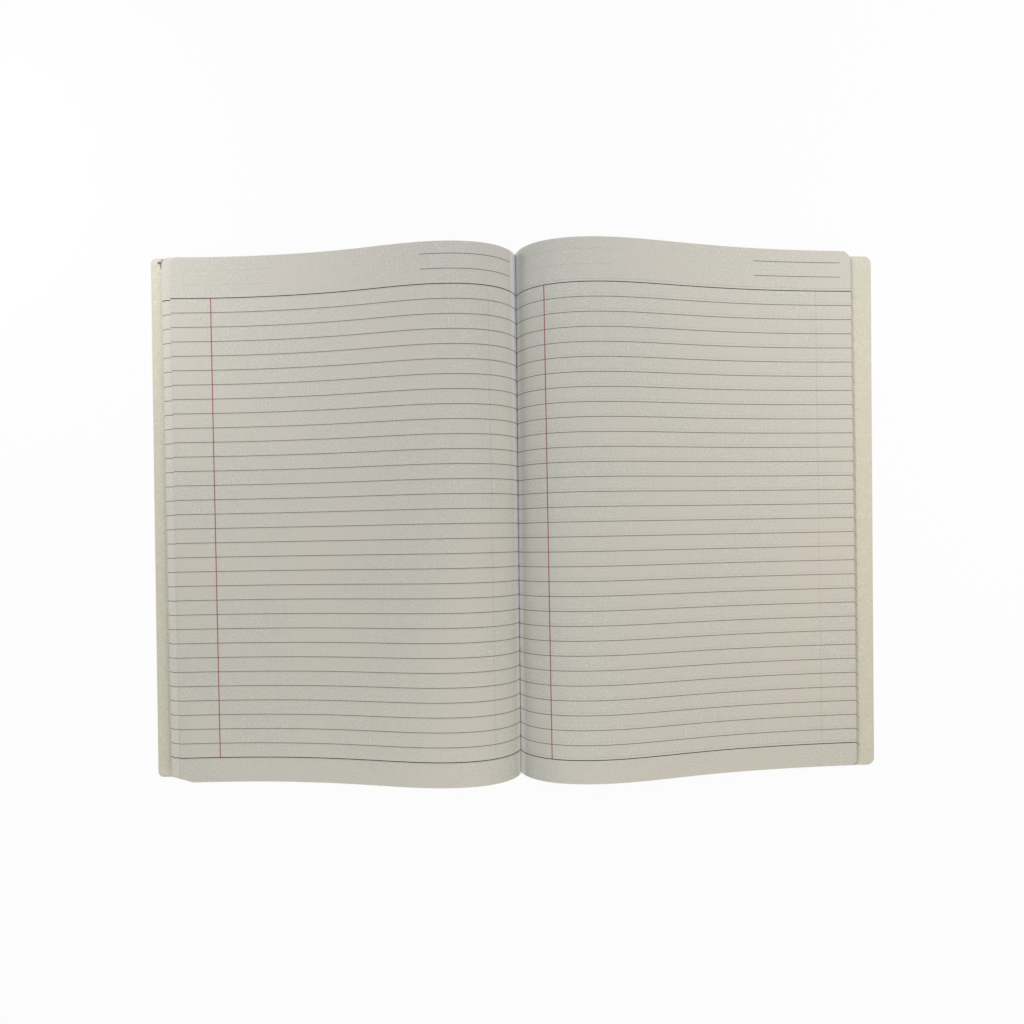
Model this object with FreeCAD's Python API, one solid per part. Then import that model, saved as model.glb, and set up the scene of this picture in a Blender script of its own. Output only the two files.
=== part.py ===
# Open composition notebook, lying face up at its middle: ruled leaves, glued spine, soft card cover.
import FreeCAD, Part
import math
import os

# Frame: origin under the spine's middle, +X to the reader's right, +Y to the head, +Z up.
# Every size is in millimetres.

# Driving dimensions of the cut sheets
book_height = 292.0        # head to foot, leaves and covers trimmed together
panel_width = 200.0        # one cover panel, from its spine crease to its fore-edge
card_thickness = 0.35
leaf_thickness = 0.08
left_leaf_count = 52
right_leaf_count = 48
leaf_corner_radius = 4.0
front_corner_radius = 3.0  # the cover's outer corners, at the reader's left
back_corner_radius = 4.2   # and right
left_turn = 0.5            # degrees that the leaves lie turned on the cover
right_turn = 0.2
left_shift = -0.3          # and how far they lie towards the head
right_shift = 0.75
turn_overlap = 2.0         # how far the two halves' outlines overlap at the gutter

# Spine
glue_thickness = 0.35
spine_slack = 0.5          # what the spine strip is wider than the bound leaves
crease_gap = 0.1           # the scored line between the spine strip and a panel
seat_gap = 0.05            # between the lowest leaf and the card under it

# How the leaves arch out of the spine. Reaches are measured from the spine's middle.
gutter_shift = 0.6         # the fold between the two top leaves, right of the spine's middle
gutter_height = 1.6        # how far up the leaves are held together, above the table
gutter_flare = 2.0         # how far each leaf's first curve leans out of the fold
left_hump_height = 20.8    # the top leaf's highest line, above the table
left_hump_reach = 36.1
right_hump_height = 22.0
right_hump_reach = 40.6
left_tail_lift = -1.5      # how the top leaf levels out: sagging on the left
right_tail_lift = 2.8      # and bowed on the right
air_in_stack = 2.8         # what the air between the leaves adds to a stack at its hump
hump_lag = 12.0            # the lowest leaf's hump is this much nearer to the spine

# How far each fore-edge is drawn in from the cover's own edge by the arch
left_top_draw_in = 13.6
left_stack_draw_in = 9.0
right_top_draw_in = 13.3
right_foot_draw_in = 9.7

# The loose bunch of leaves that lifts off the left stack
bunch_leaf_count = 4
bunch_lift = 3.0           # its air gap over the stack, at the hump
bunch_rest_gap = 0.1       # its air gap over the stack, at the fore-edge

# Gaps that show between groups of leaves at head and foot
group_count = 10           # groups in each stack
slot_height = 0.3          # a gap's height at the hump
slot_start = 0.3           # where a gap starts on the rising curve, as a share of it
slot_end = 0.74            # where it ends on the falling curve, as a share of it

# Shape of the two curves that make one leaf's arch, as shares of their spans
rise_share = 0.44
crown_share = 0.69
shoulder_share = 0.23
tail_share = 0.6
arc_tolerance = 0.02       # how closely tangent arcs follow those curves

# Worked out from the above
left_stack = left_leaf_count * leaf_thickness
right_stack = right_leaf_count * leaf_thickness
bound_width = left_stack + right_stack
spine_width = bound_width + spine_slack
cover_edge = spine_width / 2 + panel_width
glue_bottom = card_thickness
glue_top = glue_bottom + glue_thickness
leaf_floor = card_thickness + seat_gap
bunch_thickness = bunch_leaf_count * leaf_thickness
left_rest_stack = left_stack - bunch_thickness
most_turned = cover_edge * math.sin(math.radians(max(left_turn, right_turn)))
uncut_height = book_height + 2 * (most_turned + max(abs(left_shift), abs(right_shift)))

V = FreeCAD.Vector


def line(a, b):
    return Part.LineSegment(a, b).toShape()


def arcs_along(curve):
    """Tangent arcs that follow a curve, as edges in order.

    It is halved first, because a curve that is level at both ends gives no arcs.
    """
    edges = []
    for first, last in ((0.0, 0.5), (0.5, 1.0)):
        half = curve.copy()
        half.segment(first, last)
        edges += [arc.toShape() for arc in half.toBSpline().toBiArcs(arc_tolerance)]
    return edges


class Arch:
    """One leaf's curve across the page: where it is bound, its hump and its fore-edge."""

    def __init__(self, side, bound, hump, end, lift):
        self.side = side
        self.bound = bound
        self.hump = hump
        self.end = end
        self.lift = lift

    def point(self, reach, height):
        return V(self.side * reach, -uncut_height / 2, height)

    def curves(self, raised=0.0):
        """The rising and the falling curve, with the hump raised by a small height."""
        bound_x, bound_z = self.bound
        hump_x = self.hump[0]
        hump_z = self.hump[1] + raised
        end_x, end_z = self.end
        rising = Part.BezierCurve()
        rising.setPoles([
            self.point(bound_x, bound_z),
            self.point(bound_x + gutter_flare, bound_z + rise_share * (hump_z - bound_z)),
            self.point(hump_x - crown_share * (hump_x - bound_x), hump_z),
            self.point(hump_x, hump_z),
        ])
        falling = Part.BezierCurve()
        falling.setPoles([
            self.point(hump_x, hump_z),
            self.point(hump_x + shoulder_share * (end_x - hump_x), hump_z),
            self.point(end_x - tail_share * (end_x - hump_x), end_z + self.lift),
            self.point(end_x, end_z),
        ])
        return rising, falling

    def edges(self):
        rising, falling = self.curves()
        return arcs_along(rising) + arcs_along(falling)

    def bound_point(self):
        return self.point(*self.bound)

    def end_point(self):
        return self.point(*self.end)


def between(low, high, share):
    """The arch that lies a share of the way from the low arch to the high one."""

    def mix(a, b):
        return a + share * (b - a)

    def mix_pair(a, b):
        return mix(a[0], b[0]), mix(a[1], b[1])

    return Arch(low.side, mix_pair(low.bound, high.bound), mix_pair(low.hump, high.hump),
                mix_pair(low.end, high.end), mix(low.lift, high.lift))


def slot_wire(arch):
    """The outline of one air gap, round an arch between two groups of leaves."""
    pieces = []
    corners = []
    for raised in (-slot_height / 2, slot_height / 2):
        rising, falling = arch.curves(raised)
        rising.segment(slot_start, 1.0)
        falling.segment(0.0, slot_end)
        pieces.append(arcs_along(rising) + arcs_along(falling))
        corners.append((rising.StartPoint, falling.EndPoint))
    (low_start, low_end), (high_start, high_end) = corners
    low, high = pieces
    return Part.Wire(low + [line(low_end, high_end)] + high[::-1] + [line(high_start, low_start)])


def outer_corners(block, side):
    """The upright edges of a block at its outer end."""
    return [edge for edge in block.Edges
            if abs(edge.tangentAt(edge.FirstParameter).z) > 0.9
            and side * edge.CenterOfMass.x > side * block.CenterOfMass.x]


def trimmed_block(side, reach):
    """An upright block with the flat outline of one half's trimmed leaves, turned in place."""
    tall = 2 * (left_hump_height + right_hump_height)
    turn = left_turn if side < 0 else right_turn
    shift = left_shift if side < 0 else right_shift
    start = -reach if side < 0 else -turn_overlap
    block = Part.makeBox(reach + turn_overlap, book_height, tall, V(start, -book_height / 2, 0))
    rounded = block.makeFillet(leaf_corner_radius, outer_corners(block, side))
    rounded.rotate(V(0, 0, 0), V(0, 0, 1), turn)
    rounded.translate(V(0, shift, 0))
    return rounded


def trimmed_outline(left_reach, right_reach):
    """Both halves' blocks in one, tall enough for any arch."""
    return trimmed_block(-1, left_reach).fuse(trimmed_block(1, right_reach))


def left_arches():
    """The lowest and highest arch of the left stack, and the two faces of its loose bunch.

    The lowest leaf never sags below its fore-edge, because it would go into the card.
    """
    bunch_top = Arch(-1, (-gutter_shift, gutter_height), (left_hump_reach, left_hump_height),
                     (cover_edge - left_top_draw_in, leaf_floor + left_stack + bunch_rest_gap),
                     left_tail_lift)
    bunch_under = Arch(-1, (bunch_thickness - gutter_shift, gutter_height),
                       (left_hump_reach, left_hump_height - bunch_thickness),
                       (bunch_top.end[0], bunch_top.end[1] - bunch_thickness), left_tail_lift)
    high = Arch(-1, bunch_under.bound,
                (left_hump_reach, bunch_under.hump[1] - bunch_lift),
                (cover_edge - left_stack_draw_in, leaf_floor + left_rest_stack), left_tail_lift)
    low = Arch(-1, (bound_width / 2, glue_top),
               (left_hump_reach - hump_lag, high.hump[1] - left_rest_stack - air_in_stack),
               (high.end[0], leaf_floor), max(left_tail_lift, 0.0))
    return low, high, bunch_under, bunch_top


def right_arches():
    """The lowest and highest arch of the right stack."""
    high = Arch(1, (gutter_shift, gutter_height), (right_hump_reach, right_hump_height),
                (cover_edge - right_top_draw_in, leaf_floor + right_stack), right_tail_lift)
    low = Arch(1, (bound_width / 2, glue_top),
               (right_hump_reach - hump_lag, right_hump_height - right_stack - air_in_stack),
               (cover_edge - right_foot_draw_in, leaf_floor), max(right_tail_lift, 0.0))
    return low, high


def pages():
    """All the leaves as one solid: both stacks, the gaps between their groups and the bunch."""
    left_low, left_high, bunch_under, bunch_top = left_arches()
    right_low, right_high = right_arches()
    outline = Part.Wire(
        left_low.edges()
        + [line(left_low.end_point(), left_high.end_point())]
        + left_high.edges()[::-1]
        + [line(left_high.bound_point(), right_high.bound_point())]
        + right_high.edges()
        + [line(right_high.end_point(), right_low.end_point())]
        + right_low.edges()[::-1]
        + [line(right_low.bound_point(), left_low.bound_point())])
    slots = []
    for low, high in ((left_low, left_high), (right_low, right_high)):
        for number in range(1, group_count):
            slots.append(slot_wire(between(low, high, number / group_count)))
    section = Part.makeFace([outline] + slots, "Part::FaceMakerBullseye")
    head_to_foot = V(0, uncut_height, 0)
    stacks = section.extrude(head_to_foot).common(
        trimmed_outline(left_high.end[0], right_low.end[0]))
    bunch_wire = Part.Wire(
        bunch_under.edges()
        + [line(bunch_under.end_point(), bunch_top.end_point())]
        + bunch_top.edges()[::-1]
        + [line(bunch_top.bound_point(), bunch_under.bound_point())])
    bunch = Part.Face(bunch_wire).extrude(head_to_foot).common(
        trimmed_block(-1, bunch_top.end[0]))
    return stacks.fuse(bunch).removeSplitter()


def binding_glue():
    """The strip of glue that holds the leaves' bound edges to the spine."""
    return Part.makeBox(bound_width, book_height, glue_thickness,
                        V(-bound_width / 2, -book_height / 2, glue_bottom))


def spine():
    """The part of the card cover between its two scored lines."""
    return Part.makeBox(spine_width, book_height, card_thickness,
                        V(-spine_width / 2, -book_height / 2, 0))


def cover_panel(side, radius):
    """One half of the card cover, with its two outer corners rounded."""
    inner = spine_width / 2 + crease_gap
    width = cover_edge - inner
    start = inner if side > 0 else -cover_edge
    panel = Part.makeBox(width, book_height, card_thickness, V(start, -book_height / 2, 0))
    return panel.makeFillet(radius, outer_corners(panel, side))


parts = {
    "pages": pages(),
    "binding_glue": binding_glue(),
    "spine": spine(),
    "front_cover": cover_panel(-1, front_corner_radius),
    "back_cover": cover_panel(1, back_corner_radius),
}

os.makedirs("parts", exist_ok=True)
for node, shape in parts.items():
    solid = shape.Solids[0] if len(shape.Solids) == 1 else shape
    solid.exportStep(f"parts/{node}.step")
    box = solid.BoundBox
    print(node, "solids", len(shape.Solids), "valid", solid.isValid(), "volume", round(solid.Volume, 1),
          "x", round(box.XMin, 2), round(box.XMax, 2), "z", round(box.ZMin, 2), round(box.ZMax, 2))
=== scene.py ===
"""Open composition notebook, lying face up at its middle.

Two stacks of ruled leaves arch out of a glued spine, over a soft card cover.
"""
import math
import random

import bmesh
import bpy
import numpy as np
from bpy.props import FloatProperty, FloatVectorProperty, IntProperty, PointerProperty
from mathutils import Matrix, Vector


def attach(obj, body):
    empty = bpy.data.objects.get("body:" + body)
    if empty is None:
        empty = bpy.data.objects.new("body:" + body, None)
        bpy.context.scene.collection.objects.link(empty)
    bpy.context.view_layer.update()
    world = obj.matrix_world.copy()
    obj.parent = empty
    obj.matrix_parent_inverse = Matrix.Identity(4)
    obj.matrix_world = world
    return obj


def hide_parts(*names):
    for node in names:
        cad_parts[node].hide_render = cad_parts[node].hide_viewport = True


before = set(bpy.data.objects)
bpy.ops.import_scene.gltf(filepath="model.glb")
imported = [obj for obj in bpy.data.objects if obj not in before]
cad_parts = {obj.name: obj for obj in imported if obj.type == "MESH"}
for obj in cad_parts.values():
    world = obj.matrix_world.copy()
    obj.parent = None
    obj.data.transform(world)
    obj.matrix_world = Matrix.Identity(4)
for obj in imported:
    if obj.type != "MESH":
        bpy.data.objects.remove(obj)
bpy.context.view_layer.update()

bl_info = {
    "name": "Open composition notebook",
    "version": (1, 0, 0),
    "blender": (4, 5, 0),
    "location": "3D View > Sidebar > Notebook",
    "description": "Builds an open notebook with ruled leaves around its packed frame",
    "category": "Add Mesh",
}

PAGES_BODY = "pages_and_spine"
MM = 0.001
FLAT_MAP = "sheet"       # where a point lies on the flat page, from its left edge and its middle
BAKE_MAP = "OFBake"      # how a top leaf is spread over a picture of its own

# Shape of the two curves that make one leaf's arch, as shares of their spans
RISE_SHARE = 0.442
CROWN_SHARE = 0.691
SHOULDER_SHARE = 0.229
TAIL_SHARE = 0.6
CURVE_POINTS = 90        # along each of the two curves

# The glued edges and the covers, in millimetres
GLUE_TOP = 0.7           # height of the leaves' glued edges
LEAF_FLOOR = 0.4         # height of the lowest leaf on the card
BOUND_STEP = 0.02        # how far the lowest leaf of a stack rises straight out of the glue
PANEL_REACH = 200.25     # from the lowest leaf's glued edge to the cover's fore-edge

# The fold between the two top leaves, in millimetres
FOLD_SHIFT = 0.6         # how far right of the spine's middle it lies
FOLD_HEIGHT = 2.6
LEFT_FLARE = 2.4         # how far a leaf leans out as it rises
RIGHT_FLARE = 2.6
LOWER_FLARE = 2.0

# The arches, in millimetres: a hump's reach is from the spine's middle, a fore-edge's inset is
# from the cover's, and a tail's lift is how much its curve is raised before the fore-edge
LEFT_HUMP_REACH = 36.11
LEFT_INSET = 13.63
LEFT_END_HEIGHT = 4.58
LEFT_TAIL_LIFT = -1.55
LEFT_REST_INSET = 8.75
LEFT_REST_TAIL_LIFT = -1.5
LEFT_LOW_HUMP_REACH = 24.1
RIGHT_HUMP_REACH = 40.62
RIGHT_INSET = 13.31
RIGHT_END_HEIGHT = 4.34
RIGHT_TAIL_LIFT = 2.81
RIGHT_LOW_HUMP_REACH = 28.6
RIGHT_LOW_INSET = 9.35
RIGHT_LOW_TAIL_LIFT = 2.8
BUNCH_GAP = 3.0          # air under the loose bunch, at the hump
STACK_AIR = 2.8          # air among a stack's other leaves, at the hump

# Straight cuts off a corner: at the head (1) or foot (-1), along that edge, along the fore-edge
LEFT_SLANT = (-1, 7.0, 2.1)
LEFT_REST_SLANT = (-1, 11.2, 3.4)
RIGHT_SLANT = (1, 3.2, 3.2)

# Where the ruling is printed on a page, in millimetres
HEADER_UP = 122.6        # the first line, above the page's middle
LINE_SPACES = 32
SHORT_LINE_START = 141.8  # the two short lines over the header, from the page's left edge
SHORT_LINE_END = 192.7
PAGE_WIDTH = 200.4
RIGHT_PRINT_START = 2.35  # from a right leaf's glued edge to where its print is measured from

# How the top leaves lie: turned by radians, cut by millimetres from the middle, print moved up
LEFT_TURN = 0.0072
LEFT_EDGE_TURN = 0.0072
LEFT_HEAD_CUT = (145.9, 146.1)
LEFT_FOOT_CUT = (-146.4, -146.4)
LEFT_PRINT_UP = 0.683
RIGHT_TURN = 0.0078
RIGHT_EDGE_TURN = 0.0062
RIGHT_HEAD_CUT = (147.1, 145.5)
RIGHT_FOOT_CUT = (-145.8, -146.1)
RIGHT_PRINT_UP = 0.3
HELD_REACH = 15.0        # nearer the glued edge than this, the fore-edge's turn fades out

# How the leaves under them lie, with the print's move towards the head at both ends of the page
LEFT_REST_EDGE_TURN = 0.005
LEFT_REST_PRINT = (0.9, -0.3)
RIGHT_LOW_PRINT = (-1.2, -1.3)
LOWER_THICKNESS = 0.85   # how thick they are modelled, as a share of a leaf

# Unevenness of the paper: its height in millimetres and its phase, and the share of a leaf's
# length at which it starts
LEFT_SWELL = (0.2, 0.4)
RIGHT_SWELL = (0.16, 1.9)
SWELL_START = 0.28
# Each wave's height, its turns along and across the leaf, and how the phase moves it
WAVES = ((0.5, 1.3, 0.7, 1.0, 0.0), (0.3, 2.1, -1.3, 2.3, 1.0), (0.2, 0.6, 2.2, 1.7, 2.0))

# Air gaps between the lower leaves: how uneven, the least share, and the seeds at head and foot
GAP_POWER = 5
GAP_LEAST = 0.05
LEFT_SEEDS = (3, 53)
RIGHT_SEEDS = (5, 55)

# Cuts that let a leaf bend: up to this far from its glued edge, this far apart, in millimetres
TOP_CUTS = ((12, 0.8), (32, 1.2), (90, 2.0), (math.inf, 2.6))
TOP_ROWS = ((math.inf, 5.0),)
LOWER_CUTS = ((12, 1.5), (40, 3.5), (90, 7.0), (190, 10.0), (math.inf, 2.0))
LOWER_ROWS = ((math.inf, 24.0),)
CUT_TOLERANCE = 1e-5
CORNER_SEGMENTS = 6
SHARP_ANGLE = math.radians(50)
RIM_WIDTH = 0.0001       # a face narrower than this, in metres, is a leaf's rim

# Columns of a top leaf's own picture, each its left side and its width, and their foot and height
FACE_COLUMN = (0.005, 0.9)
BACK_COLUMN = (0.91, 0.045)
FORE_EDGE_COLUMN = (0.96, 0.006)
BOUND_EDGE_COLUMN = (0.97, 0.006)
HEAD_COLUMN = (0.98, 0.006)
FOOT_COLUMN = (0.99, 0.006)
COLUMN_FOOT = 0.005
COLUMN_HEIGHT = 0.99

# Printed lines: half their width and their blur in millimetres, and how well the ink covers
HALF_LINE = 0.195
HEADER_HALF_MORE = 0.03
LINE_BLUR = 0.05
MARGIN_HALF_SPAN = (0.24, 0.36)
RULING_INK = 0.84
HEADER_INK = 0.98
MARGIN_INK = 0.88
BEHIND_INK = 0.13        # the back's print, seen through the leaf
EDGE_INK = 0.8           # on the trimmed edges, where it has also run wider
EDGE_SPREAD = 0.1
LEFT_BEHIND = (0.0, 0.6)  # how far the back's print lies off the face's
RIGHT_BEHIND = (0.0, -1.5)

# Painted shade, then painted light, on the paper by the fold: from how far off to how near, in
# millimetres, and the colour
FOLD_PAINTED_SHADE_SPAN = (36.0, 12.0)
FOLD_PAINTED_SHADE = (0.915, 0.93, 0.94)
FOLD_PAINTED_LIGHT_SPAN = (8.0, 3.0)
FOLD_PAINTED_LIGHT = (0.92, 0.91, 0.9)
LEFT_FOLD_PAINTED_LIGHT = 1.0    # how much of the painted light each top leaf has
RIGHT_FOLD_PAINTED_LIGHT = 0.6

# Paper and card elsewhere, with lengths in millimetres
FIBRE_GRAIN = 1.15
FORE_EDGE_DARK_SPAN = (0.15, 0.6)  # a darker fore-edge, from dark to plain
CURL_REACH = 2.6         # how far from the fore-edge the print is drawn together
PINKER = (1.02, 0.985, 0.985)
GREENER = (0.965, 0.98, 0.94)
CARD_SKIN = (0.03, 0.12)  # height at which the card's outer colour gives way to its inner one
RUBBED_X = (203.2, 204.5)  # where the card's edge begins to be rubbed, and is
RUBBED_Y = (145.4, 146.4)
# Painted light: the front cover's card is made lighter than the back cover's and the spine's
FRONT_PAINTED_LIGHT = 1.05
# Dark marks at the front cover's head corner: middle, half lengths and darkness
FRONT_DARK_MARKS = ((-199.8, 143.5, 0.95, 0.9, 0.9), (-198.8, 143.6, 1.1, 0.7, 0.6),
                (-197.7, 144.3, 0.9, 1.5, 0.7), (-198.4, 142.1, 0.8, 2.2, 0.9))

# The stage, in metres
FLOOR_HALF = 3.0
FLOOR_DROP = 0.0002
FLOOR_WHITE = 0.95       # how much of the floor is plain white to the eye, the rest keeps shadow
# Lamps: name, place, watts, colour and width
LAMPS = (
    ("right_main", (0.45, 0.26, 0.33), 1.136, (1.0, 0.96, 0.92), 0.2),
    ("left_low", (-0.364, 0.21, 0.13), 0.456, (1.0, 0.95, 0.88), 0.12),
    ("right_low", (0.42, 0.0, 0.13), 0.151, (1.0, 0.79, 0.55), 0.12),
    ("left_foot_high", (-0.3, -0.3, 0.45), 0.566, (0.88, 0.98, 1.0), 0.2),
    ("right_head_high", (0.26, 0.3, 0.52), 0.475, (0.76, 0.9, 1.0), 0.2),
    ("head_left_mid", (-0.3, 0.4, 0.33), 0.387, (0.72, 0.77, 1.0), 0.2),
    ("head_right_steep", (0.15, 0.42, 0.36), 0.176, (0.78, 0.76, 1.0), 0.2),
    ("foot_left_steep", (-0.14, -0.42, 0.36), 0.350, (1.0, 0.89, 0.79), 0.2),
    ("foot_right_steep", (0.15, -0.42, 0.36), 0.614, (1.0, 0.98, 0.9), 0.2))


def linear(red, green, blue):
    """A screen colour, 0 to 255 a channel, as the linear colour that shaders use."""
    def channel(value):
        value = value / 255
        return value / 12.92 if value <= 0.04045 else ((value + 0.055) / 1.055) ** 2.4
    return tuple(channel(value) for value in (red, green, blue))


# Sizes and colours that a user would change

class NotebookSizes(bpy.types.PropertyGroup):
    """Sizes of the leaves and of their arches."""
    page_height: FloatProperty(
        name="Page height", description="Head to foot", default=0.292, unit="LENGTH")
    leaf_thickness: FloatProperty(
        name="Leaf thickness", description="One sheet of paper", default=0.00008,
        unit="LENGTH", precision=5)
    corner_radius: FloatProperty(
        name="Corner radius", description="Rounding of the outer corners", default=0.004,
        unit="LENGTH")
    left_leaf_count: IntProperty(
        name="Left leaves", description="Leaves in the left stack", default=52, min=8)
    right_leaf_count: IntProperty(
        name="Right leaves", description="Leaves in the right stack", default=48, min=8)
    bunch_leaf_count: IntProperty(
        name="Loose leaves", description="Leaves of the left stack that lift off it together",
        default=4, min=2)
    left_hump: FloatProperty(
        name="Left hump", description="Height of the left top leaf", default=0.02077,
        unit="LENGTH")
    right_hump: FloatProperty(
        name="Right hump", description="Height of the right top leaf", default=0.02197,
        unit="LENGTH")
    line_pitch: FloatProperty(
        name="Line spacing", description="Between two ruled lines", default=0.008,
        unit="LENGTH")
    margin_inset: FloatProperty(
        name="Margin", description="Margin line's distance from a page's left edge",
        default=0.0222, unit="LENGTH")


class NotebookColours(bpy.types.PropertyGroup):
    """Colours of the paper, its ruling and the card."""
    paper: FloatVectorProperty(
        name="Paper", description="Bare paper", subtype="COLOR",
        default=(0.711, 0.69, 0.61), min=0, max=1)
    ruling: FloatVectorProperty(
        name="Ruling", description="Ordinary ruled lines", subtype="COLOR",
        default=linear(106, 87, 80), min=0, max=1)
    header_ruling: FloatVectorProperty(
        name="Header ruling", description="First and last ruled line", subtype="COLOR",
        default=linear(30, 18, 16), min=0, max=1)
    margin: FloatVectorProperty(
        name="Margin line", description="Upright red line", subtype="COLOR",
        default=linear(168, 78, 94), min=0, max=1)
    cover_inside: FloatVectorProperty(
        name="Cover inside", description="Inner side of the card", subtype="COLOR",
        default=(0.76, 0.722, 0.6), min=0, max=1)
    cover_outside: FloatVectorProperty(
        name="Cover outside", description="Outer side of the card", subtype="COLOR",
        default=linear(150, 160, 136), min=0, max=1)
    glue: FloatVectorProperty(
        name="Glue", description="Binding glue", subtype="COLOR",
        default=linear(222, 214, 188), min=0, max=1)


class NotebookStage(bpy.types.PropertyGroup):
    """Floor, lamps and camera."""
    camera_place: FloatVectorProperty(
        name="Camera place", description="Where the camera stands", subtype="TRANSLATION",
        default=(-0.0086712, -0.0121362, 0.34), unit="LENGTH")
    camera_turn: FloatVectorProperty(
        name="Camera turn", description="Turn about each axis", subtype="EULER",
        default=(-0.0068, -0.0166, -0.0108), unit="ROTATION")
    lens: FloatProperty(
        name="Lens", description="Focal length in millimetres", default=20.983)
    camera_shift: FloatProperty(
        name="Camera shift", description="The picture's shift up, as a share of its width",
        default=0.02775, precision=5)
    world_light: FloatProperty(
        name="World light", description="Even light from all around", default=0.08)


# Shader nodes as Python expressions

class Wire:
    """A node's output that Python's arithmetic joins to Math nodes."""

    def __init__(self, finish, socket):
        self.finish = finish
        self.socket = socket

    def math(self, operation, *values):
        return self.finish.node(
            "ShaderNodeMath", {"operation": operation}, dict(enumerate(values)))

    def __add__(self, other):
        return self.math("ADD", self, other)

    def __sub__(self, other):
        return self.math("SUBTRACT", self, other)

    def __rsub__(self, other):
        return self.math("SUBTRACT", other, self)

    def __mul__(self, other):
        return self.math("MULTIPLY", self, other)

    def __truediv__(self, other):
        return self.math("DIVIDE", self, other)

    def __gt__(self, other):
        return self.math("GREATER_THAN", self, other)

    def __lt__(self, other):
        return self.math("LESS_THAN", self, other)

    def __abs__(self):
        return self.math("ABSOLUTE", self)

    __radd__ = __add__
    __rmul__ = __mul__

    def rounded(self):
        return self.math("ROUND", self)

    def or_more(self, other):
        return self.math("MAXIMUM", self, other)

    def distance(self, other):
        """How far the point with these two coordinates is from nought."""
        return self.math("SQRT", self * self + other * other)


class Finish:
    """One procedural material and the nodes behind its shader."""

    def __init__(self, name, roughness):
        self.material = bpy.data.materials.new(name)
        self.material.use_nodes = True
        self.tree = self.material.node_tree
        self.tree.nodes.clear()
        self.shader = self.tree.nodes.new("ShaderNodeBsdfPrincipled")
        self.shader.inputs["Roughness"].default_value = roughness
        output = self.tree.nodes.new("ShaderNodeOutputMaterial")
        self.tree.links.new(self.shader.outputs[0], output.inputs["Surface"])

    def node(self, kind, settings=None, inputs=None, output=0):
        """A node of a type, with its settings, then its sockets' values or links."""
        made = self.tree.nodes.new(kind)
        for name, value in (settings or {}).items():
            setattr(made, name, value)
        for name, value in (inputs or {}).items():
            self.feed(made.inputs[name], value)
        return Wire(self, made.outputs[output])

    def feed(self, socket, value):
        if isinstance(value, Wire):
            self.tree.links.new(value.socket, socket)
        elif isinstance(value, tuple) and len(value) == 3 and socket.type == "RGBA":
            socket.default_value = (*value, 1.0)
        else:
            socket.default_value = value

    def set(self, name, value):
        self.feed(self.shader.inputs[name], value)

    def object_place(self):
        """The point in the notebook's frame, in millimetres."""
        place = self.node("ShaderNodeTexCoord", output="Object")
        return self.scaled(place, 1 / MM)

    def sheet_place(self):
        """The point on the flat page, in millimetres."""
        place = self.node("ShaderNodeUVMap", {"uv_map": FLAT_MAP})
        return self.scaled(place, 1 / MM)

    def scaled(self, vector, factor):
        return self.node("ShaderNodeVectorMath", {"operation": "SCALE"},
                         {"Vector": vector, "Scale": factor})

    def stretched(self, vector, factors):
        return self.node("ShaderNodeVectorMath", {"operation": "MULTIPLY"},
                         {0: vector, 1: factors})

    def axes(self, vector):
        made = self.tree.nodes.new("ShaderNodeSeparateXYZ")
        self.feed(made.inputs[0], vector)
        return tuple(Wire(self, socket) for socket in made.outputs)

    def noise(self, place, grain, detail=2.0, roughness=0.5):
        """Soft noise from 0 to 1 about 0.5, with lumps of about a grain's size in millimetres."""
        return self.node("ShaderNodeTexNoise", {"noise_dimensions": "3D"},
                         {"Vector": place, "Scale": 1 / grain, "Detail": detail,
                          "Roughness": roughness})

    def ramp(self, value, low, high, to_low=0.0, to_high=1.0):
        """The value moved from one span to another, eased and clamped."""
        return self.node(
            "ShaderNodeMapRange", {"interpolation_type": "SMOOTHSTEP", "clamp": True},
            {0: value, 1: low, 2: high, 3: to_low, 4: to_high})

    def mix(self, factor, first, second, blend="MIX"):
        return self.node("ShaderNodeMix", {"data_type": "RGBA", "blend_type": blend},
                         {0: factor, 6: first, 7: second}, output=2)

    def bump(self, height, distance, strength=1.0):
        return self.node("ShaderNodeBump", None,
                         {"Height": height, "Distance": distance, "Strength": strength})


# Leaves

def mixed(low, high, share):
    """Two pairs of numbers mixed by a share."""
    return tuple(a + share * (b - a) for a, b in zip(low, high))


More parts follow.
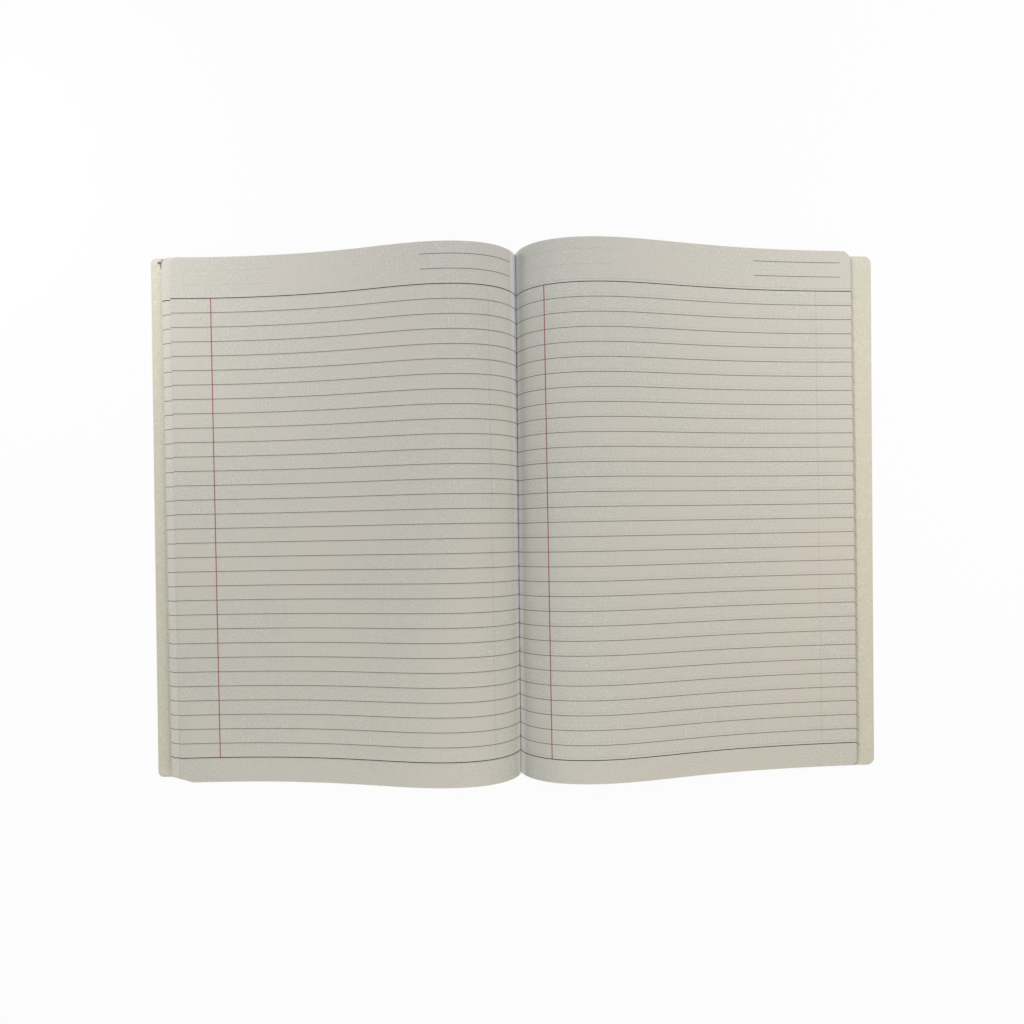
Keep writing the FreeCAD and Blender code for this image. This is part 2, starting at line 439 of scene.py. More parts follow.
class Arch:
    """One leaf's curve over its hump, in millimetres, as reach from the spine and height.

    It starts at foot, its glued edge, bends from bound on, and passes hump to its fore-edge at
    end. lift raises the curve before the fore-edge, and flare leans it out as it rises.
    """

    def __init__(self, side, foot, bound, hump, end, lift, flare=LOWER_FLARE):
        self.side = side
        self.foot = foot
        self.bound = bound
        self.hump = hump
        self.end = end
        self.lift = lift
        self.flare = flare
        points = self.points()
        steps = np.diff(points, axis=0)
        keep = np.concatenate(([True], np.hypot(*steps.T) > 1e-6))
        self.course = points[keep]
        steps = np.diff(self.course, axis=0)
        self.at = np.concatenate(([0.0], np.cumsum(np.hypot(*steps.T))))
        self.length = self.at[-1]
        slope = np.gradient(self.course, self.at, axis=0)
        self.slope = slope / np.hypot(*slope.T)[:, None]

    def between(self, other, share, hump_share):
        """The arch a share of the way to a higher one, its hump's height at a share of its own."""
        reach = mixed(self.hump, other.hump, share)[0]
        height = mixed(self.hump, other.hump, hump_share)[1]
        lift, flare = mixed((self.lift, self.flare), (other.lift, other.flare), share)
        return Arch(self.side, mixed(self.foot, other.foot, share),
                    mixed(self.bound, other.bound, share), (reach, height),
                    mixed(self.end, other.end, share), lift, flare)

    def points(self):
        """Points along the leaf, from its glued edge up, over the hump and out."""
        (bx, bz), (hx, hz), (ex, ez) = self.bound, self.hump, self.end
        rising = ((bx, bz), (bx + self.flare, bz + RISE_SHARE * (hz - bz)),
                  (hx - CROWN_SHARE * (hx - bx), hz), (hx, hz))
        falling = ((hx, hz), (hx + SHOULDER_SHARE * (ex - hx), hz),
                   (ex - TAIL_SHARE * (ex - hx), ez + self.lift), (ex, ez))
        runs = [np.array([self.foot])]
        share = np.linspace(0, 1, CURVE_POINTS)[:, None]
        weights = ((1 - share) ** 3, 3 * share * (1 - share) ** 2,
                   3 * share ** 2 * (1 - share), share ** 3)
        for poles in (rising, falling):
            runs.append(sum(weight * np.array(pole) for weight, pole in zip(weights, poles)))
        return np.vstack(runs)

    def bend(self, places):
        """Place and upward normal at lengths along the leaf, and straight on past its end."""
        past = np.clip(places - self.length, 0, None)
        along, up = (np.interp(places, self.at, self.slope[:, axis]) for axis in (0, 1))
        reach = np.interp(places, self.at, self.course[:, 0]) + past * along
        height = np.interp(places, self.at, self.course[:, 1]) + past * up
        size = np.hypot(along, up)
        return self.side * reach, height, -self.side * up / size, along / size


class Stacks:
    """The lowest and highest arch of both stacks, and the two faces of the loose bunch."""

    def __init__(self, sizes):
        thick = sizes.leaf_thickness / MM
        left_thick = sizes.left_leaf_count * thick
        right_thick = sizes.right_leaf_count * thick
        bunch_thick = sizes.bunch_leaf_count * thick
        rest_thick = left_thick - bunch_thick
        half_bound = (left_thick + right_thick) / 2
        middle = half_bound - left_thick
        cover_edge = half_bound + PANEL_REACH
        left_end = cover_edge - LEFT_INSET
        left_rest_end = cover_edge - LEFT_REST_INSET
        left_hump = sizes.left_hump / MM
        bunch_hump = left_hump - bunch_thick
        right_hump = sizes.right_hump / MM
        lowest_foot = (half_bound, GLUE_TOP)
        lowest_bound = (half_bound, GLUE_TOP + BOUND_STEP)
        self.bunch_top = Arch(
            -1, (middle, GLUE_TOP), (-FOLD_SHIFT, FOLD_HEIGHT), (LEFT_HUMP_REACH, left_hump),
            (left_end, LEFT_END_HEIGHT), LEFT_TAIL_LIFT, LEFT_FLARE)
        self.bunch_under = Arch(
            -1, (middle + bunch_thick, GLUE_TOP), (bunch_thick - FOLD_SHIFT, FOLD_HEIGHT),
            (LEFT_HUMP_REACH, bunch_hump), (left_end, LEFT_END_HEIGHT - bunch_thick),
            LEFT_TAIL_LIFT)
        self.left_high = Arch(
            -1, self.bunch_under.foot, self.bunch_under.bound,
            (LEFT_HUMP_REACH, bunch_hump - BUNCH_GAP),
            (left_rest_end, LEAF_FLOOR + rest_thick), LEFT_REST_TAIL_LIFT)
        self.left_low = Arch(
            -1, lowest_foot, lowest_bound,
            (LEFT_LOW_HUMP_REACH, self.left_high.hump[1] - rest_thick - STACK_AIR),
            (left_rest_end, LEAF_FLOOR), 0.0)
        self.right_high = Arch(
            1, (-middle, GLUE_TOP), (FOLD_SHIFT, FOLD_HEIGHT), (RIGHT_HUMP_REACH, right_hump),
            (cover_edge - RIGHT_INSET, RIGHT_END_HEIGHT), RIGHT_TAIL_LIFT, RIGHT_FLARE)
        self.right_low = Arch(
            1, lowest_foot, lowest_bound,
            (RIGHT_LOW_HUMP_REACH, right_hump - right_thick - STACK_AIR),
            (cover_edge - RIGHT_LOW_INSET, LEAF_FLOOR), RIGHT_LOW_TAIL_LIFT)


def cut_places(length, spans):
    """Places of cuts over a length, from spans of an end and a pitch, one after another."""
    places = [0.0]
    for end, pitch in spans:
        start = places[-1]
        end = min(end, length)
        count = max(1, round((end - start) / pitch))
        places += [start + (end - start) * k / count for k in range(1, count + 1)]
    return places[1:-1]


def add_bake_map(bm, length, height):
    """Spreads a flat leaf over its own picture: the printed face first, then back and rims."""
    spread = bm.loops.layers.uv.new(BAKE_MAP)
    for face in bm.faces:
        normal = face.normal
        for loop in face.loops:
            along = loop.vert.co.x / length
            across = loop.vert.co.y / height + 0.5
            depth = 1.0 if loop.vert.co.z < 0 else 0.0
            if abs(normal.z) > 0.5:
                column = FACE_COLUMN if normal.z > 0 else BACK_COLUMN
                right, up = along, across
            elif abs(normal.x) > 0.7:
                column = FORE_EDGE_COLUMN if normal.x > 0 else BOUND_EDGE_COLUMN
                right, up = depth, across
            else:
                column = HEAD_COLUMN if normal.y > 0 else FOOT_COLUMN
                right, up = depth, along
            loop[spread].uv = (column[0] + column[1] * right, COLUMN_FOOT + COLUMN_HEIGHT * up)


def cut_flat(bm, place, normal, clears=False):
    """Cuts a flat sheet along a line, and clears what lies past it if asked."""
    bmesh.ops.bisect_plane(bm, geom=bm.verts[:] + bm.edges[:] + bm.faces[:],
                           dist=CUT_TOLERANCE, clear_outer=clears,
                           plane_co=place, plane_no=normal)


def flat_leaf(length, height, radius, slant, thickness, cuts, rows, bakes=False):
    """A flat sheet in millimetres, its bound edge on the Y axis, corners rounded, cut to bend.

    slant is a straight cut off one corner: 1 for the head or -1 for the foot, and how far it
    goes along that edge and along the fore-edge. cuts and rows are the spans of the cuts along
    the leaf and across it.
    """
    bm = bmesh.new()
    bmesh.ops.create_grid(bm, x_segments=1, y_segments=1, size=0.5)
    bmesh.ops.scale(bm, vec=(length, height, 1), verts=bm.verts)
    bmesh.ops.translate(bm, vec=(length / 2, 0, 0), verts=bm.verts)
    corners = [vert for vert in bm.verts if vert.co.x > length / 2]
    bmesh.ops.bevel(bm, geom=corners, affect="VERTICES", offset=radius,
                    segments=CORNER_SEGMENTS, profile=0.5, material=-1)
    end, inward, upward = slant
    cut_flat(bm, (length, end * (height / 2 - upward), 0), (upward, end * inward, 0), clears=True)
    for place in cut_places(length, cuts):
        cut_flat(bm, (place, 0, 0), (1, 0, 0))
    for place in cut_places(height, rows):
        cut_flat(bm, (0, place - height / 2, 0), (0, 1, 0))
    top = bm.faces[:]
    for face in top:
        if face.normal.z < 0:
            face.normal_flip()
    made = bmesh.ops.extrude_face_region(bm, geom=top, use_keep_orig=True)
    lowered = [item for item in made["geom"] if isinstance(item, bmesh.types.BMVert)]
    bmesh.ops.translate(bm, vec=(0, 0, -thickness), verts=lowered)
    bmesh.ops.recalc_face_normals(bm, faces=bm.faces)
    bmesh.ops.triangulate(bm, faces=[face for face in bm.faces if len(face.verts) > 4])
    if bakes:
        add_bake_map(bm, length, height)
    mesh = bpy.data.meshes.new("flat_leaf")
    bm.to_mesh(mesh)
    bm.free()
    return mesh


def wave(share, across, phase):
    """A gentle unevenness of the paper, from about -1 to 1."""
    return sum(size * np.sin(math.tau * (turns * share + turns_across * across)
                             + times * phase + start)
               for size, turns, turns_across, times, start in WAVES)


class LeafShape:
    """How one leaf is cut, printed and laid.

    head and foot are its arches at both ends. turn is how far the print lies turned, and
    edge_turn the fore-edge, in radians. The cuts are the page's head and foot edges, at the
    bound edge and at the fore-edge. print_shift moves the print towards the head, at the foot
    and at the head of the page. swell is the height and the phase of the paper's unevenness.
    """

    def __init__(self, head, foot, turn, edge_turn, head_cut, foot_cut, print_shift, swell):
        self.head = head
        self.foot = foot
        self.turn = turn
        self.edge_turn = edge_turn
        self.head_cut = head_cut
        self.foot_cut = foot_cut
        self.print_shift = print_shift
        self.swell, self.phase = swell


def add_leaf(bm, flat, shape, length, height):
    """Adds a flat sheet to the mesh, writes where it is printed, and bends it into place."""
    start_vert = len(bm.verts)
    start_face = len(bm.faces)
    bm.from_mesh(flat)
    bm.verts.ensure_lookup_table()
    bm.faces.ensure_lookup_table()
    verts = bm.verts[start_vert:]
    faces = bm.faces[start_face:]
    side = shape.head.side
    flat_places = np.array([vert.co for vert in verts])
    along, depth = flat_places[:, 0], flat_places[:, 2]
    across = flat_places[:, 1] / height
    head_share = across + 0.5
    out = along / length
    head_cut = shape.head_cut[0] + out * (shape.head_cut[1] - shape.head_cut[0])
    foot_cut = shape.foot_cut[0] + out * (shape.foot_cut[1] - shape.foot_cut[0])
    y = foot_cut + head_share * (head_cut - foot_cut)
    held = np.clip(along / HELD_REACH, 0, 1)
    fore_turn = side * shape.edge_turn * y * held
    printed_along = along - fore_turn + side * shape.turn * y
    if side < 0:
        printed_x = length - printed_along
    else:
        printed_x = printed_along - RIGHT_PRINT_START
    shift = shape.print_shift[0] + head_share * (shape.print_shift[1] - shape.print_shift[0])
    printed_y = y - shift
    sheet_map = bm.loops.layers.uv.get(FLAT_MAP) or bm.loops.layers.uv.new(FLAT_MAP)
    bm.verts.index_update()
    for face in faces:
        for loop in face.loops:
            number = loop.vert.index - start_vert
            loop[sheet_map].uv = (printed_x[number] * MM, printed_y[number] * MM)
    at_foot, at_head = (np.stack(arch.bend(out * arch.length - fore_turn))
                        for arch in (shape.foot, shape.head))
    x, z, normal_x, normal_z = at_foot + head_share * (at_head - at_foot)
    past_hump = np.clip((out - SWELL_START) / (1 - SWELL_START), 0, 1)
    z = z + shape.swell * wave(out, across, shape.phase) * np.sin(math.pi * past_hump) ** 2
    places = np.stack((x + depth * normal_x, y + side * shape.turn * along,
                       z + depth * normal_z), 1)
    for vert, place in zip(verts, places):
        vert.co = Vector(place) * MM


def finish_mesh(bm, name, materials):
    """Turns a mesh into an object, smooth except at sharp rims."""
    for face in bm.faces:
        face.smooth = True
    for edge in bm.edges:
        if len(edge.link_faces) == 2 and edge.calc_face_angle(0.0) > SHARP_ANGLE:
            edge.smooth = False
    mesh = bpy.data.meshes.new(name)
    bm.to_mesh(mesh)
    bm.free()
    for material in materials:
        mesh.materials.append(material)
    piece = bpy.data.objects.new(name, mesh)
    bpy.context.scene.collection.objects.link(piece)
    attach(piece, PAGES_BODY)
    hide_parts("pages")


def paint_rims(bm):
    """Gives the thin rim faces of a mesh of leaves their own material, the second."""
    for face in bm.faces:
        longest = max(edge.calc_length() for edge in face.edges)
        if face.calc_area() < longest * RIM_WIDTH:
            face.material_index = 1


def gap_shares(count, thickness, total, seed):
    """Hump shares of a stack's leaves: even paper with air gaps, a few of them wide."""
    draw = random.Random(seed)
    gaps = [draw.random() ** GAP_POWER + GAP_LEAST for _ in range(count)]
    air = max(total - count * thickness, 0.0)
    scale = air / sum(gaps)
    heights = []
    height = 0.0
    for gap in gaps:
        height += thickness + gap * scale
        heights.append(height / total)
    return heights


# Finishes

def printed_side(finish, sizes, colours, x, y, paper, strength, spread=0.0):
    """Ink of one printed side, over the paper's colour. x is from the page's left edge.

    Spread is how much wider than elsewhere the ink has run.
    """
    pitch = sizes.line_pitch / MM
    row = (HEADER_UP - y) / pitch
    nearest = row.rounded()
    off_line = abs(row - nearest) * pitch
    on_rows = (nearest > -0.5) * (nearest < LINE_SPACES + 0.5)
    heavy = (abs(nearest) < 0.5).or_more(abs(nearest - LINE_SPACES) < 0.5)
    short = (nearest > -2.5) * (nearest < -0.5) * (x > SHORT_LINE_START) * (x < SHORT_LINE_END)
    half_width = HALF_LINE + heavy * HEADER_HALF_MORE + spread
    line = finish.ramp(off_line - half_width, -LINE_BLUR, LINE_BLUR, 1.0, 0.0)
    plain = line * (on_rows - heavy).or_more(short)
    dark = line * heavy
    inset = sizes.margin_inset / MM
    inside = (y < HEADER_UP) * (y > HEADER_UP - LINE_SPACES * pitch)
    margin = finish.ramp(abs(x - inset), *MARGIN_HALF_SPAN, 1.0, 0.0) * inside
    colour = finish.mix(margin * (MARGIN_INK * strength), paper, tuple(colours.margin))
    colour = finish.mix(plain * (RULING_INK * strength), colour, tuple(colours.ruling))
    return finish.mix(dark * (HEADER_INK * strength), colour, tuple(colours.header_ruling))


def shades(colour, *factors):
    """One colour made darker or lighter by each factor."""
    return [tuple(min(1.0, channel * factor) for channel in colour) for factor in factors]


def tinted(colour, factors):
    """A colour with each channel made darker or lighter by its own factor."""
    return tuple(channel * factor for channel, factor in zip(colour, factors))


def paper_finish(name, sizes, colours, behind, fore_edge, painted_fold_light=0.0, painted_lightness=1.0,
                 fore_edge_darkening=0.0, curl=1.0):
    """Ruled writing paper: fibre, faint tint, printed lines and what shows through.

    behind is how far the back's print lies off, and fore_edge where the page ends in the
    print's own measure. glow is how much painted light whitens the paper where it bends into
    the fold, with a band of painted shade that greys it before that. lightness is painted
    light that makes the whole paper lighter. fore_edge_darkening is how dark its fore-edge is, and
    curl how much the print is drawn together there.
    """
    finish = Finish(name, 0.86)
    finish.shader.inputs["Specular IOR Level"].default_value = 0.25
    sheet = finish.sheet_place()
    x, y, _ = finish.axes(sheet)
    fibre = finish.noise(sheet, FIBRE_GRAIN, 3.0, 0.65)
    cloud = finish.noise(sheet, 6.0, 3.0)
    tint = finish.noise(sheet, 60.0, 1.0)
    # Painted light: lightness makes this paper lighter than the same paper on other leaves
    bare = shades(tuple(colours.paper), painted_lightness)[0]
    deep, dim, bright = shades(bare, 0.87, 0.94, 1.1)
    colour = finish.mix(finish.ramp(fibre, 0.28, 0.72), deep, bright)
    colour = finish.mix(finish.ramp(cloud, 0.35, 0.65, 0.0, 0.5), colour, dim)
    colour = finish.mix(finish.ramp(tint, 0.4, 0.7, 0.0, 0.6), colour, tinted(bare, PINKER))
    from_edge = abs(x - fore_edge)
    if painted_fold_light:
        # Painted shade: the paper turns greyer towards the fold
        painted_fold_shade = finish.ramp(from_edge, *(PAGE_WIDTH - off for off in FOLD_PAINTED_SHADE_SPAN))
        colour = finish.mix(painted_fold_shade, colour, FOLD_PAINTED_SHADE, "MULTIPLY")
        # Painted light: the paper turns whiter where it bends into the fold
        white = finish.ramp(from_edge, *(PAGE_WIDTH - off for off in FOLD_PAINTED_LIGHT_SPAN), 0.0, painted_fold_light)
        colour = finish.mix(white, colour, FOLD_PAINTED_LIGHT)
    colour = printed_side(finish, sizes, colours, PAGE_WIDTH - x + behind[0], y + behind[1],
                          colour, BEHIND_INK)
    # Darker paper along the fore-edge, with the print drawn together there
    if fore_edge_darkening:
        rim = finish.ramp(from_edge, *FORE_EDGE_DARK_SPAN, 1.0, 0.0)
        colour = finish.mix(rim, colour, shades(bare, 1 - fore_edge_darkening)[0])
        y = y * finish.ramp(from_edge, 0.0, CURL_REACH, curl, 1.0)
    colour = printed_side(finish, sizes, colours, x, y, colour, 1.0)
    finish.set("Base Color", colour)
    finish.set("Roughness", finish.ramp(fibre, 0.2, 0.8, 0.8, 0.92))
    finish.set("Normal", finish.bump(fibre, 0.00003, 0.5))
    return finish.material


def edge_finish(name, sizes, colours):
    """Trimmed paper edge: cut fibres, darker than the sheet, dotted where lines run out."""
    finish = Finish(name, 0.92)
    place = finish.object_place()
    fibre = finish.noise(finish.stretched(place, (1.0, 0.35, 3.0)), 0.5, 2.0)
    low, high = shades(tuple(colours.paper), 0.55, 0.8)
    colour = finish.mix(finish.ramp(fibre, 0.3, 0.7), low, high)
    x, y, _ = finish.axes(finish.sheet_place())
    finish.set("Base Color", printed_side(finish, sizes, colours, x, y, colour, EDGE_INK,
                                          EDGE_SPREAD))
    finish.set("Normal", finish.bump(fibre, 0.00002, 0.4))
    return finish.material


def card_finish(colours, name, side, dark_marks=(), painted_lightness=1.0):
    """Cover card: cream inside, muted outside, rubbed at its edges, with small dark marks.

    side is -1 for the reader's left. A dark mark is its middle, its two half lengths and how dark
    it is. lightness is painted light that makes the whole card lighter.
    """
    dark_mark_colour = linear(118, 104, 88)
    rubbed_colour = linear(226, 216, 196)
    finish = Finish(name, 0.78)
    finish.shader.inputs["Specular IOR Level"].default_value = 0.3
    place = finish.object_place()
    x, y, z = finish.axes(place)
    fibre = finish.noise(place, FIBRE_GRAIN, 3.0, 0.65)
    cloud = finish.noise(place, 7.0, 3.0)
    # Painted light: lightness makes this card lighter than the same card on the other panels
    inside = shades(tuple(colours.cover_inside), painted_lightness)[0]
    deep, bright = shades(inside, 0.89, 1.09)
    colour = finish.mix(finish.ramp(fibre, 0.28, 0.72), deep, bright)
    colour = finish.mix(finish.ramp(cloud, 0.4, 0.65, 0.0, 0.75), colour,
                        tinted(inside, GREENER))
    # Small dark marks on the card near the head corner
    for middle_x, middle_y, half_x, half_y, darkness in dark_marks:
        off = ((x - middle_x) * (1 / half_x)).distance((y - middle_y) * (1 / half_y))
        colour = finish.mix(finish.ramp(off + cloud * 0.4, 0.8, 1.4, darkness, 0.0), colour,
                            dark_mark_colour)
    outer_deep, outer_bright, outer_worn = shades(tuple(colours.cover_outside), 0.88, 1.1, 0.78)
    outer = finish.mix(finish.ramp(fibre, 0.3, 0.75), outer_deep, outer_bright)
    outer = finish.mix(finish.ramp(cloud, 0.5, 0.75, 0.0, 0.4), outer, outer_worn)
    colour = finish.mix(finish.ramp(z, *CARD_SKIN), outer, colour)
    edge_x = finish.ramp(side * x + cloud * 1.2, *RUBBED_X)
    edge_y = finish.ramp(abs(y) + cloud, *RUBBED_Y)
    colour = finish.mix(edge_x.or_more(edge_y) * 0.6, colour, rubbed_colour)
    finish.set("Base Color", colour)
    finish.set("Roughness", finish.ramp(cloud, 0.3, 0.7, 0.7, 0.84))
    finish.set("Normal", finish.bump(fibre, 0.00004, 0.5))
    return finish.material


def glue_finish(colours):
    """Set binding glue: cloudy, slightly glossy, with a brushed surface."""
    finish = Finish("binding_glue", 0.4)
    place = finish.object_place()
    brushed = finish.noise(finish.stretched(place, (1.0, 0.08, 1.0)), 0.7, 2.0)
    cloud = finish.noise(place, 6.0, 2.0)
    deep, bright = shades(tuple(colours.glue), 0.85, 1.0)
    finish.set("Base Color", finish.mix(finish.ramp(cloud, 0.35, 0.65), deep, bright))
    finish.set("Roughness", finish.ramp(brushed, 0.3, 0.7, 0.32, 0.5))
    finish.set("Normal", finish.bump(brushed, 0.0001, 0.5))
    return finish.material


# Operators

class NOTEBOOK_OT_top_leaves(bpy.types.Operator):
    """Build the two ruled leaves that lie uppermost"""
    bl_idname = "notebook.top_leaves"
    bl_label = "Top leaves"

    def execute(self, context):
        sizes = context.scene.notebook_sizes
        colours = context.scene.notebook_colours
        height = sizes.page_height / MM
        stacks = Stacks(sizes)
        left = LeafShape(stacks.bunch_top, stacks.bunch_top, LEFT_TURN, LEFT_EDGE_TURN,
                         LEFT_HEAD_CUT, LEFT_FOOT_CUT, (LEFT_PRINT_UP, LEFT_PRINT_UP),
                         LEFT_SWELL)
        right = LeafShape(stacks.right_high, stacks.right_high, RIGHT_TURN, RIGHT_EDGE_TURN,
                          RIGHT_HEAD_CUT, RIGHT_FOOT_CUT, (RIGHT_PRINT_UP, RIGHT_PRINT_UP),
                          RIGHT_SWELL)
        # Painted light: each top leaf gets its share of whitened paper in the fold
        for name, shape, slant, behind, painted_fold_light in (
                ("left_top_leaf", left, LEFT_SLANT, LEFT_BEHIND, LEFT_FOLD_PAINTED_LIGHT),
                ("right_top_leaf", right, RIGHT_SLANT, RIGHT_BEHIND, RIGHT_FOLD_PAINTED_LIGHT)):
            length = shape.head.length
            flat = flat_leaf(length, height, sizes.corner_radius / MM, slant,
                             sizes.leaf_thickness / MM, TOP_CUTS, TOP_ROWS, bakes=True)
            bm = bmesh.new()
            add_leaf(bm, flat, shape, length, height)
            fore_edge = 0.0 if shape.head.side < 0 else length - RIGHT_PRINT_START
            finish_mesh(bm, name, [paper_finish(name + "_paper", sizes, colours, behind,
                                                fore_edge, painted_fold_light=painted_fold_light)])
        return {"FINISHED"}


class NOTEBOOK_OT_lower_leaves(bpy.types.Operator):
    """Build the fanned leaves under the two top leaves"""
    bl_idname = "notebook.lower_leaves"
    bl_label = "Lower leaves"

    def execute(self, context):
        sizes = context.scene.notebook_sizes
        colours = context.scene.notebook_colours
        height = sizes.page_height / MM
        thick = sizes.leaf_thickness / MM
        stacks = Stacks(sizes)
        length = stacks.bunch_top.length
        flat_rest, flat_bunch, flat_right = (
            flat_leaf(length, height, sizes.corner_radius / MM, slant, thick * LOWER_THICKNESS,
                      LOWER_CUTS, LOWER_ROWS)
            for slant in (LEFT_REST_SLANT, LEFT_SLANT, RIGHT_SLANT))
        straight_head = (height / 2, height / 2)
        straight_foot = (-height / 2, -height / 2)
        left_bm, right_bm = bmesh.new(), bmesh.new()
        rest_count = sizes.left_leaf_count - sizes.bunch_leaf_count
        head, foot = (gap_shares(rest_count, thick,
                                 stacks.left_high.hump[1] - stacks.left_low.hump[1], seed)
                      for seed in LEFT_SEEDS)
        for number in range(rest_count):
            share = (number + 1) / rest_count
            add_leaf(left_bm, flat_rest, LeafShape(
                stacks.left_low.between(stacks.left_high, share, head[number]),
                stacks.left_low.between(stacks.left_high, share, foot[number]),
                LEFT_TURN * share, LEFT_REST_EDGE_TURN * share,
                mixed(straight_head, LEFT_HEAD_CUT, share),
                mixed(straight_foot, LEFT_FOOT_CUT, share),
                tuple(up * share for up in LEFT_REST_PRINT),
                (LEFT_SWELL[0] * share, LEFT_SWELL[1])), length, height)
        bunch_count = sizes.bunch_leaf_count
        for number in range(bunch_count - 1):
            share = (number + 1) / bunch_count
            arch = stacks.bunch_under.between(stacks.bunch_top, share, share)
            add_leaf(left_bm, flat_bunch, LeafShape(
                arch, arch, LEFT_TURN, LEFT_EDGE_TURN, LEFT_HEAD_CUT, LEFT_FOOT_CUT,
                (LEFT_PRINT_UP, LEFT_PRINT_UP), LEFT_SWELL), length, height)
        count = sizes.right_leaf_count
        head, foot = (gap_shares(count, thick,
                                 stacks.right_high.hump[1] - stacks.right_low.hump[1], seed)
                      for seed in RIGHT_SEEDS)
        for number in range(count - 1):
            share = (number + 1) / count
            add_leaf(right_bm, flat_right, LeafShape(
                stacks.right_low.between(stacks.right_high, share, head[number]),
                stacks.right_low.between(stacks.right_high, share, foot[number]),
                RIGHT_TURN * share, RIGHT_EDGE_TURN,
                mixed(straight_head, RIGHT_HEAD_CUT, share),
                mixed(straight_foot, RIGHT_FOOT_CUT, share),
                tuple(RIGHT_PRINT_UP * share + up * (1 - share) for up in RIGHT_LOW_PRINT),
                (RIGHT_SWELL[0] * share, RIGHT_SWELL[1])), length, height)
        # Painted light: the left leaves' paper is made lighter than the right leaves'; both are
        # darker along the fore-edge
        for name, bm, fore_edge, painted_lightness, fore_edge_darkening, curl in (
                ("left_leaves", left_bm, 0.0, 1.07, 0.12, 1.006),
                ("right_leaves", right_bm, length - RIGHT_PRINT_START, 1.0, 0.2, 1.0)):
            paint_rims(bm)
            finish_mesh(bm, name, [
                paper_finish(name + "_paper", sizes, colours, (0.0, 0.0), fore_edge,
                             painted_lightness=painted_lightness, fore_edge_darkening=fore_edge_darkening, curl=curl),
                edge_finish(name + "_edges", sizes, colours)])
        return {"FINISHED"}


class NOTEBOOK_OT_cover_card(bpy.types.Operator):
    """Give the cover panels, the spine strip and the glue their finishes"""
    bl_idname = "notebook.cover_card"
    bl_label = "Cover and glue"

    def execute(self, context):
        colours = context.scene.notebook_colours
        finishes = {
            "front_cover": card_finish(colours, "front_cover_card", -1, FRONT_DARK_MARKS,
                                       FRONT_PAINTED_LIGHT),
            "back_cover": card_finish(colours, "back_cover_card", 1),
            "spine": card_finish(colours, "spine_card", 1),
            "binding_glue": glue_finish(colours),
        }
        for node, material in finishes.items():
            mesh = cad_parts[node].data
            mesh.materials.clear()
            mesh.materials.append(material)
        return {"FINISHED"}


def add_lamp(name, place, watts, colour, size):
    """A soft lamp that faces the middle of the spread."""
    light = bpy.data.lights.new(name, "AREA")
    light.shape = "DISK"
    light.size = size
    light.energy = watts
    light.color = colour
    lamp = bpy.data.objects.new(name, light)
    lamp.location = place
    lamp.rotation_euler = (-Vector(place)).to_track_quat("-Z", "Y").to_euler()
    bpy.context.scene.collection.objects.link(lamp)


class NOTEBOOK_OT_stage(bpy.types.Operator):
    """Set the floor, the lamps and the camera"""
    bl_idname = "notebook.stage"
    bl_label = "Stage"

    def execute(self, context):
        stage = context.scene.notebook_stage
        bm = bmesh.new()
        bmesh.ops.create_grid(bm, x_segments=1, y_segments=1, size=FLOOR_HALF)
        bmesh.ops.translate(bm, vec=(0, 0, -FLOOR_DROP), verts=bm.verts)
        mesh = bpy.data.meshes.new("floor")
        bm.to_mesh(mesh)
        bm.free()
        mesh.materials.append(floor_finish())
        floor = bpy.data.objects.new("floor", mesh)
        context.scene.collection.objects.link(floor)
        for lamp in LAMPS:
            add_lamp(*lamp)
        set_world(context.scene, stage.world_light)
        camera = bpy.data.cameras.new("camera")
        camera.lens = stage.lens
        camera.sensor_width = 36.0
        camera.shift_y = stage.camera_shift
        camera.clip_start = 0.01
        eye = bpy.data.objects.new("camera", camera)
        eye.location = stage.camera_place
        eye.rotation_euler = stage.camera_turn
        context.scene.collection.objects.link(eye)
        context.scene.camera = eye
        context.scene.view_settings.view_transform = "Standard"
        return {"FINISHED"}


def seen_directly(tree):
    """One where a ray comes from the eye, a mirror or glass, and nought elsewhere."""
    path = tree.nodes.new("ShaderNodeLightPath")
    total = path.outputs["Is Camera Ray"]
    for name in ("Is Glossy Ray", "Is Transmission Ray"):
        joined = tree.nodes.new("ShaderNodeMath")
        joined.operation = "MAXIMUM"
        tree.links.new(total, joined.inputs[0])
        tree.links.new(path.outputs[name], joined.inputs[1])
        total = joined.outputs[0]
    return total


def floor_finish():
    """White floor that keeps a faint shadow of the notebook."""
    finish = Finish("floor", 0.9)
    finish.shader.inputs["Specular IOR Level"].default_value = 0.0
    finish.set("Base Color", (0.8, 0.8, 0.8))
    seen = Wire(finish, seen_directly(finish.tree))
    white = finish.node("ShaderNodeEmission", None, {"Color": (1.0, 1.0, 1.0), "Strength": 1.0})
    surface = finish.node("ShaderNodeMixShader", None,
                          {0: seen * FLOOR_WHITE, 1: Wire(finish, finish.shader.outputs[0]),
                           2: white})
    output = finish.tree.nodes["Material Output"]
    finish.tree.links.new(surface.socket, output.inputs["Surface"])
    return finish.material


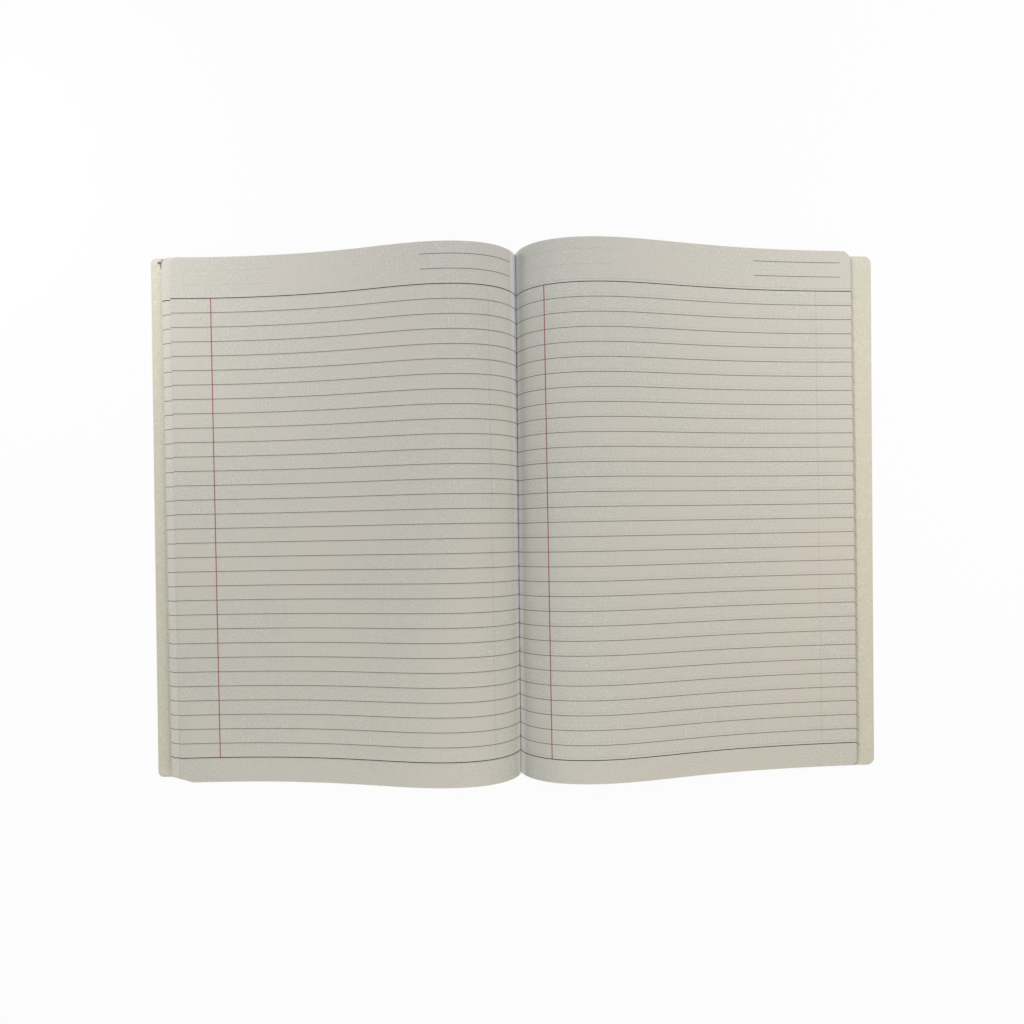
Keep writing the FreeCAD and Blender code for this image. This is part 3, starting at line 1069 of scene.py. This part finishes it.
def set_world(scene, light):
    """White to the eye, and a plain soft light on the notebook."""
    world = bpy.data.worlds.new("world")
    world.use_nodes = True
    tree = world.node_tree
    tree.nodes.clear()
    even = tree.nodes.new("ShaderNodeBackground")
    even.inputs["Strength"].default_value = light
    white = tree.nodes.new("ShaderNodeBackground")
    white.inputs["Strength"].default_value = 1.0
    for background in (even, white):
        background.inputs["Color"].default_value = (1, 1, 1, 1)
    mix = tree.nodes.new("ShaderNodeMixShader")
    output = tree.nodes.new("ShaderNodeOutputWorld")
    tree.links.new(seen_directly(tree), mix.inputs[0])
    tree.links.new(even.outputs[0], mix.inputs[1])
    tree.links.new(white.outputs[0], mix.inputs[2])
    tree.links.new(mix.outputs[0], output.inputs["Surface"])
    scene.world = world


class NOTEBOOK_PT_sidebar(bpy.types.Panel):
    """Lists the notebook's sizes, colours and steps"""
    bl_idname = "NOTEBOOK_PT_sidebar"
    bl_label = "Open notebook"
    bl_space_type = "VIEW_3D"
    bl_region_type = "UI"
    bl_category = "Notebook"

    def draw(self, context):
        for group in (context.scene.notebook_sizes, context.scene.notebook_colours,
                      context.scene.notebook_stage):
            box = self.layout.box()
            for name in type(group).__annotations__:
                box.prop(group, name)
        for operator in OPERATORS:
            self.layout.operator(operator.bl_idname)


GROUPS = {"notebook_sizes": NotebookSizes, "notebook_colours": NotebookColours,
          "notebook_stage": NotebookStage}
OPERATORS = (NOTEBOOK_OT_stage, NOTEBOOK_OT_top_leaves, NOTEBOOK_OT_lower_leaves,
             NOTEBOOK_OT_cover_card)


def register():
    for cls in (*GROUPS.values(), *OPERATORS, NOTEBOOK_PT_sidebar):
        bpy.utils.register_class(cls)
    for name, group in GROUPS.items():
        setattr(bpy.types.Scene, name, PointerProperty(type=group))


def unregister():
    for name in GROUPS:
        delattr(bpy.types.Scene, name)
    for cls in (NOTEBOOK_PT_sidebar, *reversed(OPERATORS), *reversed(list(GROUPS.values()))):
        bpy.utils.unregister_class(cls)


def main():
    register()
    bpy.ops.notebook.stage()
    bpy.ops.notebook.top_leaves()
    bpy.ops.notebook.lower_leaves()
    bpy.ops.notebook.cover_card()


if __name__ == "__main__":
    main()
